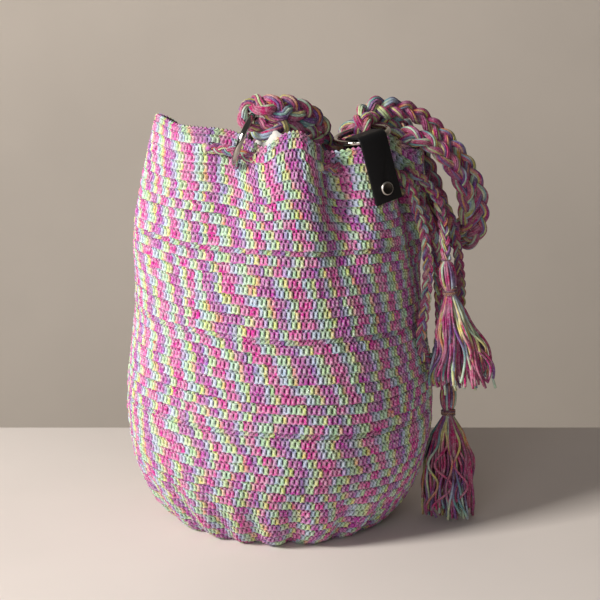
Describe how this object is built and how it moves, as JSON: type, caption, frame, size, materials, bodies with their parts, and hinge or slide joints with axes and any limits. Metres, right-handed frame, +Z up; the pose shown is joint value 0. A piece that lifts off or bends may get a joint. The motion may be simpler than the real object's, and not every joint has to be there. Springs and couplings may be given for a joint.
{
  "type": "potli bag",
  "caption": "Crocheted drawstring pouch in variegated cotton with a gathered neck, tasselled drawstring, braided shoulder strap on metal rings and a riveted leather tab.",
  "frame": {"origin": "centre of the base, on the floor the bag stands on", "axes": "+Z up through the mouth, -Y towards the front with the rings, +X to the side where the strap and the drawstring tails hang"},
  "size_m": [0.3152, 0.263, 0.3697],
  "materials": {
    "crochet_yarn": "variegated cotton yarn, crocheted in rounds",
    "braid_yarn": "variegated cotton yarn, braided",
    "tassel_yarn": "variegated cotton yarn, cut strands",
    "binding_yarn": "orange-brown cotton yarn, wound tight",
    "lining_cotton": "plain woven cotton",
    "ring_nickel": "polished nickel plate",
    "rivet_nickel": "nickel plate, dished",
    "tab_leather": "smooth black leather"
  },
  "bodies": {
    "bag": {"crochet_body": "crochet_yarn", "lining": "lining_cotton", "tab": "tab_leather", "rivet_cap": "rivet_nickel", "rivet_washer": "rivet_nickel", "drawstring": "braid_yarn", "shoulder_strap": "braid_yarn", "upper_tassel": "tassel_yarn", "upper_tassel_binding": "binding_yarn", "lower_tassel": "tassel_yarn", "lower_tassel_binding": "binding_yarn"},
    "left_ring_body": {"left_ring": "ring_nickel"},
    "right_ring_body": {"right_ring": "ring_nickel"}
  },
  "joints": [
    {"name": "left_ring_turn", "type": "hinge", "parent": "bag", "child": "left_ring_body", "pos_m": [-0.02696, -0.07817, 0.33466], "axis": [0.9224, -0.1793, -0.342], "continuous": true},
    {"name": "right_ring_turn", "type": "hinge", "parent": "bag", "child": "right_ring_body", "pos_m": [0.06565, -0.05264, 0.33475], "axis": [-0.2095, -0.121, 0.9703], "continuous": true}
  ]
}
